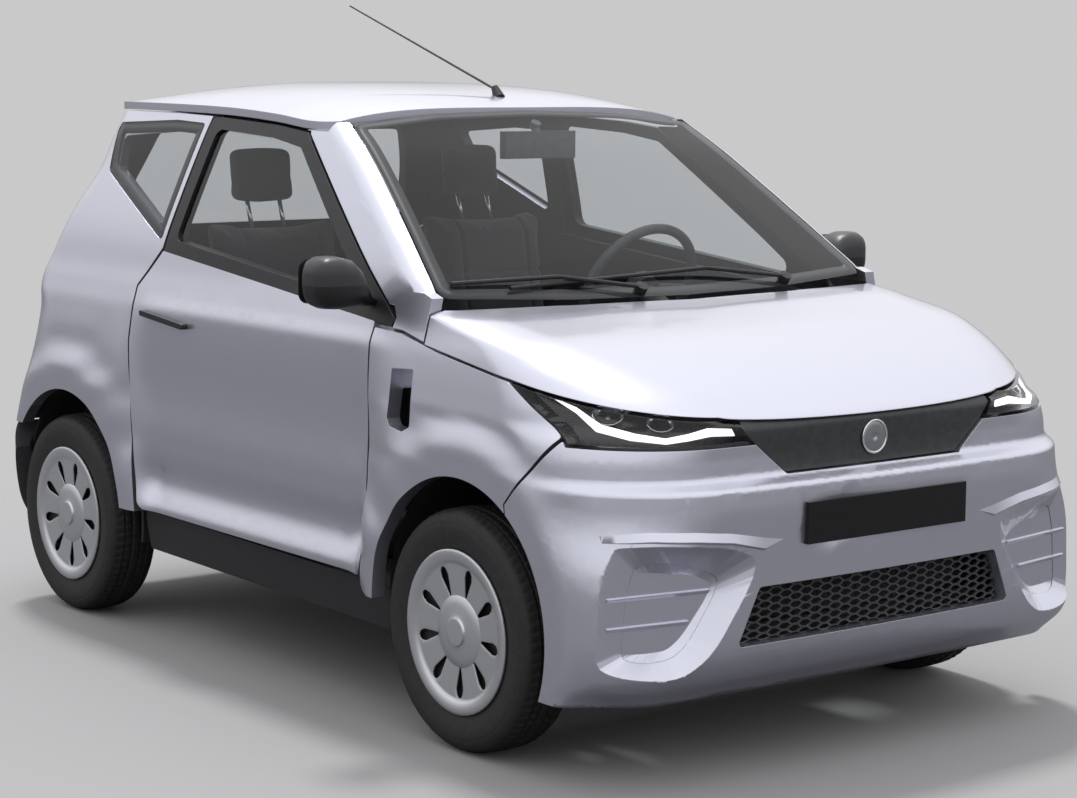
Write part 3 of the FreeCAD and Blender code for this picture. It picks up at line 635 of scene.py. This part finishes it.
def pod_brow(side_name, s, tree):
    """The ledge over a pod, laid on the bumper's skin."""
    verts = []
    for step in range(STATIONS):
        x = LEDGE_FROM + LEDGE_LONG * step / (STATIONS - 1)
        top, low, reach = (between(row, x / MM) * MM for row in (LEDGE_TOP, LEDGE_LOW, LEDGE_REACH))
        edge = low + (top - low) * LEDGE_EDGE
        y = front_at(tree, s * x, edge)
        verts += [(s * x, y + LEDGE_ROOT, top), (s * x, front_at(tree, s * x, top) + 0.0006, top),
                  (s * x, y - reach, edge), (s * x, y + LEDGE_ROOT, low - 0.004)]
    faces = ends(STATIONS, 4) + quads(STATIONS, 4)
    ridged(piece("pod_brow_" + side_name, verts, faces, PAINT, "body", "paint"), 50)


def bumper():
    bm = welded("front_bumper")
    tree = BVHTree.FromBMesh(bm)
    skin = from_bmesh("bumper_skin", bm, PAINT)
    for poly in skin.data.polygons:
        poly.use_smooth = True
    for side_name, s in SIDES:
        outer, rim, floor = pod_rings(tree, s)
        faces = ends(3, len(rim)) + quads(3, len(rim))
        cutter = piece("pod_cutter", outer + rim + floor, faces, PAINT, "body", "paint")
        modifier(skin, "pod", "BOOLEAN", object=cutter, operation="DIFFERENCE", solver="EXACT")
        apply_all(skin)
        bpy.data.objects.remove(cutter)
        pod_tub(side_name, rim, floor)
        pod_louvres(side_name, s)
        pod_brow(side_name, s, tree)
    ridged(skin)
    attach(skin, "body")
    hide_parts("front_bumper")


# The lower grille: flat hexagons in a bowed sheet before a dark finned radiator.
HEX_PITCH, HEX_RISE, HEX_BAR, HEX_FLAT = 0.029, 0.0088, 0.0022, 3.4
MESH_FROM, MESH_ROWS, MESH_COLS = 0.298, 16, 8
MESH_LOW, MESH_TOP, MESH_DEEP, MESH_BACK, MESH_INSET = 0.3008, 0.4232, 0.006, 0.003, 0.001
MESH_REACH = 0.93
MOUTH_TOP, MOUTH_TALL, MOUTH_HALF, MOUTH_SPREAD = 0.424, 0.124, 0.358, 0.056
FINS, FIN_DEEP, FIN_LOW, FIN_TOP = 96, 0.006, 0.302, 0.422
RADIATOR_HALF, RADIATOR_Y, RADIATOR_BOW = 0.400, -1.262, 0.30


def mouth_half(z):
    """Half the width of the bumper's mouth, which widens downwards."""
    return MOUTH_HALF + (MOUTH_TOP - z) / MOUTH_TALL * MOUTH_SPREAD


def hex_cells(tree):
    """Points and faces of hexagonal frames on the grille's surface, clipped to the mouth."""
    flat, tall = HEX_PITCH / HEX_FLAT, HEX_RISE
    point = HEX_PITCH - flat
    outline = ((point, 0), (flat, tall), (-flat, tall), (-point, 0), (-flat, -tall), (flat, -tall))
    verts, faces = [], []
    for row in range(MESH_ROWS):
        z = MESH_FROM + row * HEX_RISE
        for col in range(-MESH_COLS, MESH_COLS + 1):
            x = col * HEX_PITCH * 2 + (row % 2) * HEX_PITCH
            if not MESH_LOW < z < MESH_TOP or abs(x * MESH_REACH) >= mouth_half(z):
                continue
            base = len(verts)
            faces += [tuple(base + i for i in face) for face in quads(2, len(outline))]
            for bar in (0, HEX_BAR):
                for dx, dz in outline:
                    k = 1 - bar / math.hypot(dx, dz) * (1.3 if dz else 1.6)
                    pz = min(MESH_TOP, max(MESH_LOW, z + dz * k))
                    edge = mouth_half(pz) - MESH_INSET
                    px = min(edge, max(-edge, x + dx * k))
                    verts.append((px, front_at(tree, px, pz) + MESH_BACK, pz))
    return verts, faces


def grille():
    bm = welded("lower_grille")
    tree = BVHTree.FromBMesh(bm)
    bm.free()
    obj = piece("hex_mesh", *hex_cells(tree), MESH, "body", "black_plastic", smooth=False)
    modifier(obj, "deep", "SOLIDIFY", thickness=MESH_DEEP, offset=0)
    apply_all(obj)
    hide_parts("lower_grille")
    verts = []
    for k in range(FINS + 1):
        x = -RADIATOR_HALF + 2 * RADIATOR_HALF * k / FINS
        y = RADIATOR_Y + RADIATOR_BOW * x * x + (FIN_DEEP if k % 2 else 0)
        verts += [(x, y, FIN_LOW), (x, y, FIN_TOP)]
    faces = [(2 * k, 2 * k + 1, 2 * k + 3, 2 * k + 2) for k in range(FINS)]
    obj = piece("radiator", verts, faces, BLACK, "body", "black_plastic", smooth=False)
    modifier(obj, "deep", "SOLIDIFY", thickness=0.004, offset=0)
    apply_all(obj)


# Headlamps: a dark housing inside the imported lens, two reflectors and a lit strip along its lower
# edge. Places are near the left lens, in millimetres; depths behind it are in metres.
STRIP_LOW = ((679, -1071, 827), (669, -1126, 792), (654, -1174, 759), (614, -1239, 747),
             (556, -1288, 735), (509, -1305, 741), (455, -1315, 748), (396, -1323, 742))
STRIP_TOP = ((671, -1086, 824), (662, -1120, 802), (644, -1178, 771), (600, -1240, 760),
             (552, -1279, 748), (505, -1296, 756), (459, -1303, 764), (402, -1317, 759))
STRIP_FRONT, STRIP_BACK = 0.005, 0.011
REFLECTORS = (((608, -1165, 802), 0.031), ((532, -1240, 790), 0.027))
REFLECTOR_IN, REFLECTOR_DEEP, DOME_IN, DOME_RADIUS = 0.014, 0.022, 0.016, 0.010
LENS_WAY, LENS_SHARE, HOUSING_IN = (0.55, -0.82, 0.12), 0.45, 0.0018
# Turned rows as shares of the radius and of the depth.
DISH = ((0.16, -1.0), (0.35, -0.93), (0.6, -0.72), (0.82, -0.40), (1.0, 0.0), (1.05, 0.03),
        (1.05, -0.03), (0.84, -0.46), (0.61, -0.79), (0.3, -1.05))
DOME = ((0.02, 0.62), (0.45, 0.52), (0.8, 0.28), (0.96, 0.0), (1.12, -0.05), (1.12, -0.5),
        (0.9, -0.7), (0.02, -0.7))
FACETS, FACET_RISE, SQUASH = 14, 0.035, 0.8


def outward(face):
    """How far a lamp face looks out of the car."""
    x, y, z = LENS_WAY
    side = 1 if face.calc_center_median().x > 0 else -1
    return face.normal.dot(Vector((x * side, y, z)).normalized())


def on_lens(tree, at, s):
    """The lens's nearest point to a place, on one side, and the way it faces there."""
    spot, normal, _, _ = tree.find_nearest(Vector((s * at[0], at[1], at[2])) * MM)
    return spot, normal


def turned(name, rows, count, centre, facing, size, mat, facets=0, squash=1.0):
    """A lamp piece of rows turned about its facing, with a rise between its facets, if any."""
    radius, depth = size
    turn = facing.normalized().to_track_quat("Z", "Y").to_matrix()
    verts = []
    for k in range(count):
        angle = 2 * math.pi * k / count
        reach = radius * (1 + FACET_RISE * abs(math.sin(angle * facets / 2)))
        a, b = reach * math.cos(angle), reach * math.sin(angle) * squash
        verts += [centre + turn @ Vector((share * a, share * b, up * depth)) for share, up in rows]
    return piece(name, verts, quads(count, len(rows), ring=True), mat, "body", "lamp_lens")


def lamps():
    bm = welded("headlamps")
    lens = [f for f in bm.faces if outward(f) > LENS_SHARE]
    tree = tree_over(bm, lens)
    bmesh.ops.delete(bm, geom=lens, context="FACES")
    for vert in bm.verts:
        vert.co -= vert.normal * HOUSING_IN
    housing = from_bmesh("lamp_housing", bm, GLOSS)
    modifier(housing, "wall", "SOLIDIFY", thickness=0.001, offset=-1)
    apply_all(housing)
    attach(housing, "body")
    for side_name, s in SIDES:
        verts = []
        for low, top in zip(STRIP_LOW, STRIP_TOP):
            for at, deep in ((low, STRIP_FRONT), (top, STRIP_FRONT),
                             (top, STRIP_BACK), (low, STRIP_BACK)):
                spot, normal = on_lens(tree, at, s)
                verts.append(spot - normal * deep)
        faces = quads(len(STRIP_LOW), 4) + ends(len(STRIP_LOW), 4)
        strip = piece("running_light_" + side_name, verts, faces, STRIP, "body", "lamp_lens")
        modifier(strip, "round", "BEVEL", width=0.002, segments=3)
        apply_all(strip)
        for k, (at, radius) in enumerate(REFLECTORS):
            spot, normal = on_lens(tree, at, s)
            centre = spot - normal * REFLECTOR_IN
            turned("reflector_%s_%d" % (side_name, k), DISH, 4 * FACETS, centre, normal,
                   (radius, REFLECTOR_DEEP), CHROME, FACETS, SQUASH)
            turned("lamp_dome_%s_%d" % (side_name, k), DOME, 28, centre - normal * DOME_IN, normal,
                   (DOME_RADIUS, DOME_RADIUS), BADGE)


# Printed black borders inside the panes: name, pane, the way it faces, width, and the side of the
# car where the node holds a pane for each.
BORDERS = (("windscreen_border", "windscreen", (0, -0.8, 0.6), 0.034, 0),
           ("quarter_border_left", "quarter_windows", (1, 0, 0.2), 0.030, 1),
           ("quarter_border_right", "quarter_windows", (-1, 0, 0.2), 0.030, -1),
           ("tailgate_border", "tailgate_glass", (0, 1, 0.2), 0.036, 0))
PANE_SHARE = 0.35
BORDER_STEP, BORDER_INSET, BORDER_SUNK, BORDER_THICK = 0.012, 0.0015, 0.0012, 0.0006
BORDER_SMOOTHINGS = 14


def loops_of(edges):
    """Closed runs of vertices along a set of edges, the longest first."""
    at = {}
    for edge in edges:
        for vert in edge.verts:
            at.setdefault(vert, []).append(edge)
    runs, seen = [], set()
    for start in at:
        if start in seen:
            continue
        run, vert, came = [], start, None
        while vert and vert not in seen:
            seen.add(vert)
            run.append(vert)
            onward = [e for e in at[vert] if e is not came and e.other_vert(vert) not in seen]
            came = onward[0] if onward else None
            vert = came.other_vert(vert) if came else None
        runs.append(run)
    return sorted(runs, key=lambda r: -len(r))


def resample(points, step):
    """Points at even steps along a closed run."""
    total = sum((points[k] - points[k - 1]).length for k in range(len(points)))
    count = max(12, int(total / step))
    out, want, gone = [], 0.0, 0.0
    for k in range(len(points)):
        a, b = points[k], points[(k + 1) % len(points)]
        span = (b - a).length
        while want <= gone + span and len(out) < count:
            out.append(a.lerp(b, (want - gone) / span if span else 0))
            want += total / count
        gone += span
    return out


def border(name, node_name, way, width, half):
    """A band along a pane's outline that follows its curve."""
    bm = welded(node_name, 1e-5)
    outer = [f for f in bm.faces
             if f.normal.dot(Vector(way)) > PANE_SHARE and f.calc_center_median().x * half >= 0]
    chosen = set(outer)
    rim = [e for e in bm.edges if sum(f in chosen for f in e.link_faces) == 1]
    edge = resample([v.co.copy() for v in loops_of(rim)[0]], BORDER_STEP)
    tree = tree_over(bm, outer)
    bm.free()
    count = len(edge)
    middle = sum(edge, Vector()) / count
    inwards = []
    for k in range(count):
        _, normal, _, _ = tree.find_nearest(edge[k])
        along = (edge[(k + 1) % count] - edge[k - 1]).normalized()
        inwards.append(normal.cross(along).normalized())
    turn = 1 if sum(side.dot(middle - p) for side, p in zip(inwards, edge)) > 0 else -1
    inner = [p + side * turn * width for side, p in zip(inwards, edge)]
    for _ in range(BORDER_SMOOTHINGS):
        inner = [inner[k] * 0.5 + (inner[k - 1] + inner[(k + 1) % count]) * 0.25
                 for k in range(count)]
    outside = [p + (q - p).normalized() * BORDER_INSET for p, q in zip(edge, inner)]
    verts = []
    for ring, lift in ((outside, BORDER_SUNK), (inner, BORDER_SUNK),
                       (inner, BORDER_SUNK + BORDER_THICK), (outside, BORDER_SUNK + BORDER_THICK)):
        for p in ring:
            spot, normal, _, _ = tree.find_nearest(p)
            verts.append(spot - normal * lift)
    body = "tailgate" if node_name.startswith("tailgate") else "body"
    return piece(name, verts, quads(4, count, ring=True), FRIT, body, "black_plastic")


def borders():
    for row in BORDERS:
        border(*row)


# Door mirrors: a shell that narrows to its arm, as (x, y, z, half depth, half height) of rounded
# squares, and two plates in it, as name, y, (width, height, thickness, corner), material, slot.
SHELL = ((0.686, -0.400, 0.966, 0.018, 0.007), (0.704, -0.401, 0.972, 0.028, 0.013),
         (0.722, -0.402, 0.986, 0.040, 0.027), (0.740, -0.402, 1.003, 0.050, 0.043),
         (0.762, -0.402, 1.012, 0.054, 0.055), (0.795, -0.401, 1.015, 0.055, 0.060),
         (0.825, -0.400, 1.016, 0.054, 0.059), (0.842, -0.399, 1.016, 0.048, 0.051),
         (0.851, -0.398, 1.016, 0.036, 0.038), (0.8555, -0.398, 1.016, 0.016, 0.018))
SHELL_BACK, SHELL_POINTS, SHELL_POWER = -0.3475, 40, 0.62
MIRROR_X, MIRROR_Z = 0.803, 1.015
MIRROR_PLATES = (("mirror_frame_", -0.3474, (0.096, 0.100, 0.0022, 0.024), BLACK, "black_plastic"),
                 ("mirror_glass_", -0.3454, (0.088, 0.092, 0.0018, 0.021), MIRROR_GLASS,
                  "engine_alloy"))
CORNER_STEPS, PLATE_CHAMFER = 8, 0.0015


def rounded_plate(name, at, size, mat, body, slot):
    """A plate with rounded corners and a soft edge in the XZ plane, facing backwards."""
    width, height, thick, corner = size
    outline = []
    for cx, cz, start in ((1, 1, 0), (-1, 1, 90), (-1, -1, 180), (1, -1, 270)):
        for k in range(CORNER_STEPS + 1):
            a = math.radians(start + 90 * k / CORNER_STEPS)
            outline.append((cx * (width / 2 - corner) + corner * math.cos(a),
                            cz * (height / 2 - corner) + corner * math.sin(a)))
    rows = ((0.0, 0.0), (0.0, thick * 0.6), (PLATE_CHAMFER, thick))
    verts = []
    for inset, y in rows:
        k = 1 - inset / max(width, height) * 2
        verts += [(at[0] + x * k, at[1] + y, at[2] + z * k) for x, z in outline]
    faces = quads(len(rows), len(outline)) + ends(len(rows), len(outline))
    return piece(name, verts, faces, mat, body, slot, smooth=False)


def mirrors():
    for side_name, s in SIDES:
        verts = []
        for x, y, z, deep, high in SHELL:
            for k in range(SHELL_POINTS):
                a = 2 * math.pi * k / SHELL_POINTS
                cy, cz = (math.copysign(abs(f) ** SHELL_POWER, f)
                          for f in (math.cos(a), math.sin(a)))
                verts.append((s * x, min(y + deep * cy, SHELL_BACK), z + high * cz))
        faces = quads(len(SHELL), SHELL_POINTS) + ends(len(SHELL), SHELL_POINTS)
        shell = piece("mirror_shell_" + side_name, verts, faces, MIRROR_CASE, "door_" + side_name,
                      "black_plastic")
        ridged(shell, 55)
        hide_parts("door_mirror_" + side_name)
        for label, y, size, mat, slot in MIRROR_PLATES:
            rounded_plate(label + side_name, (s * MIRROR_X, y, MIRROR_Z), size, mat,
                          "door_" + side_name, slot)


# Seats: a cushion, a back and a head rest, each blown up as cloth and then sewn in lines, on a
# shell. Each padded part has a (y, z) profile and a half width in millimetres, then in metres its
# rounding, the most that it may swell, and its seams as (axis, place, depth, width), where x is
# off the seat's middle.
SEAT_X = 0.345
SEAT_PARTS = (
    ("cushion", ((24, 372), (24, 448), (62, 480), (300, 468), (430, 452), (440, 372)), 196, 0.026,
     0.022, (("x", 0.118, 0.007, 0.006), ("y", 0.200, 0.006, 0.006))),
    ("back", ((452, 508), (498, 760), (556, 1080), (608, 1096), (622, 1076), (592, 760),
              (562, 508)), 192, 0.028,
     0.022, (("x", 0.112, 0.007, 0.006), ("z", 0.78, 0.006, 0.006), ("z", 0.93, 0.006, 0.006))),
    ("headrest", ((604, 1142), (622, 1278), (678, 1278), (668, 1142)), 88, 0.022,
     0.016, (("x", 0.088, 0.003, 0.004),)),
)
SEAT_BASE, BASE_HALF = ((30, 264), (18, 300), (18, 370), (30, 378), (440, 378), (462, 330),
                        (470, 264)), 190
STEM_OFF, STEM_LOW, STEM_TOP, STEM_RADIUS = 0.05, (0.604, 1.060), (0.640, 1.165), 0.006
ROD_SIDES = 12
VOXEL, QUICK_VOXEL = 0.006, 0.010
CLOTH_FRAMES, CLOTH_PRESSURE = 20, 4.0


def crowned(name, profile, middle, half, mat=CLOTH, slot="seat_cloth"):
    """A closed block with a (y, z) profile and a half width about its middle, in millimetres."""
    verts = [(x * MM, y * MM, z * MM) for x in (middle - half, middle + half) for y, z in profile]
    n = len(profile)
    return piece(name, verts, quads(2, n) + ends(2, n), mat, "body", slot)


def rod(low, top, radius):
    """Points and faces of a round bar between two points."""
    way = (Vector(top) - Vector(low)).normalized()
    side = way.cross(Vector((0, 1, 0.01))).normalized()
    up = side.cross(way)
    verts = []
    for p in (Vector(low), Vector(top)):
        for k in range(ROD_SIDES):
            t = 2 * math.pi * k / ROD_SIDES
            verts.append(p + (side * math.cos(t) + up * math.sin(t)) * radius)
    return verts, quads(2, ROD_SIDES) + ends(2, ROD_SIDES)


def sewn(p, middle, seams):
    """How deep a point lies in the seams; those along x come in pairs."""
    depth = 0
    for axis, place, deep, wide in seams:
        off = abs(p.x - middle) if axis == "x" else getattr(p, axis)
        depth += deep * math.exp(-(abs(off - place) / wide) ** 2)
    return depth


def padded(obj, middle, rounding, swell, seams):
    """Rounds, remeshes and blows up a piece by no more than its swell, then sinks its seams."""
    modifier(obj, "round", "BEVEL", width=rounding, segments=4, limit_method="ANGLE")
    modifier(obj, "voxel", "REMESH", mode="VOXEL", voxel_size=VOXEL)
    apply_all(obj)
    start = [v.co.copy() for v in obj.data.vertices]
    made = modifier(obj, "cloth", "CLOTH")
    made.settings.quality = 4
    made.settings.use_pressure = True
    made.settings.uniform_pressure_force = CLOTH_PRESSURE
    made.settings.effector_weights.gravity = 0
    made.collision_settings.use_collision = False
    made.point_cache.frame_start, made.point_cache.frame_end = 1, CLOTH_FRAMES
    for step in range(1, CLOTH_FRAMES + 1):
        SCENE.frame_set(step)
    apply_all(obj)
    SCENE.frame_set(1)
    for vert, p in zip(obj.data.vertices, start):
        way = vert.co - p
        if way.length > swell:
            vert.co = p + way.normalized() * swell
    modifier(obj, "smooth", "SUBSURF", levels=1, render_levels=1)
    apply_all(obj)
    moved = [v.co - v.normal * sewn(v.co, middle, seams) for v in obj.data.vertices]
    for vert, p in zip(obj.data.vertices, moved):
        vert.co = p
    for poly in obj.data.polygons:
        poly.use_smooth = True


def seat(side_name, s):
    middle = s * SEAT_X
    made = {}
    for part, profile, half, rounding, swell, seams in SEAT_PARTS:
        made[part] = crowned("%s_%s" % (part, side_name), profile, middle * 1000, half)
        padded(made[part], middle, rounding, swell, seams)
    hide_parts("seat_" + side_name)
    shell = crowned("seat_base_" + side_name, SEAT_BASE, middle * 1000, BASE_HALF, CABIN, "trim")
    modifier(shell, "round", "BEVEL", width=0.018, segments=4, limit_method="ANGLE")
    apply_all(shell)
    for k, off in enumerate((-STEM_OFF, STEM_OFF)):
        verts, faces = rod((middle + off, *STEM_LOW), (middle + off, *STEM_TOP), STEM_RADIUS)
        piece("headrest_stem_%s_%d" % (side_name, k), verts, faces, CHROME, "body", "engine_alloy")


# The stage: a pale floor that runs into the background, a sun from behind and a soft sky.
BACKGROUND = (0.585, 0.585, 0.585)
FLOOR_PALE = 0.372
# The sky's brightness by height.
SKY = ((0.0, 0.34), (0.10, 0.56), (0.30, 0.92), (0.8, 1.10))
SUN_WAY = (-0.20, -0.42, -1.0)
SUN_STRENGTH, SUN_SPREAD = 1.9, 9
FLOOR_SIZE, FLOOR_SHADE = 400, (0.13, 0.13, 0.135)
SKY_BLUE = 1.02


def stage():
    bpy.ops.mesh.primitive_plane_add(size=FLOOR_SIZE, location=(0, 0, 0))
    floor = bpy.context.object
    floor.name = "floor"
    mat = material("floor", FLOOR_SHADE, 0.95, Specular_IOR_Level=0.1)
    pale = node(mat, "ShaderNodeBsdfDiffuse", Color=(FLOOR_PALE, FLOOR_PALE, FLOOR_PALE, 1))
    rays = node(mat, "ShaderNodeLightPath")
    mix = node(mat, "ShaderNodeMixShader")
    link(mat, rays, "Is Camera Ray", mix, 0)
    link(mat, mat.node_tree.nodes["Principled BSDF"], "BSDF", mix, 1)
    link(mat, pale, "BSDF", mix, 2)
    link(mat, mix, "Shader", mat.node_tree.nodes["Material Output"], "Surface")
    floor.data.materials.append(mat)

    world = bpy.data.worlds.new("studio")
    SCENE.world = world
    world.use_nodes = True
    world.node_tree.nodes.clear()
    out = node(world, "ShaderNodeOutputWorld")
    rays = node(world, "ShaderNodeLightPath")
    place = node(world, "ShaderNodeTexCoord")
    split = node(world, "ShaderNodeSeparateXYZ")
    ramp = node(world, "ShaderNodeValToRGB")
    seen = node(world, "ShaderNodeBackground", Color=(*BACKGROUND, 1))
    light = node(world, "ShaderNodeBackground")
    mix = node(world, "ShaderNodeMixShader")
    while len(ramp.color_ramp.elements) < len(SKY):
        ramp.color_ramp.elements.new(0.5)
    for element, (at, value) in zip(ramp.color_ramp.elements, SKY):
        element.position = at
        element.color = (value, value, value * SKY_BLUE, 1)
    link(world, place, "Generated", split, 0)
    link(world, split, "Z", ramp, "Fac")
    link(world, ramp, "Color", light, "Color")
    link(world, rays, "Is Camera Ray", mix, 0)
    link(world, light, 0, mix, 1)
    link(world, seen, 0, mix, 2)
    link(world, mix, 0, out, "Surface")

    data = bpy.data.lights.new("sun", "SUN")
    data.energy, data.angle = SUN_STRENGTH, math.radians(SUN_SPREAD)
    lamp = bpy.data.objects.new("sun", data)
    lamp.rotation_mode = "QUATERNION"
    lamp.rotation_quaternion = Vector(SUN_WAY).to_track_quat("-Z", "Y")
    SCENE.collection.objects.link(lamp)
    SCENE.view_settings.view_transform = "Standard"


camera()
dress_nodes()
tyres()
covers()
boss()
bumper()
grille()
lamps()
borders()
mirrors()
for side in SIDES:
    seat(*side)
stage()
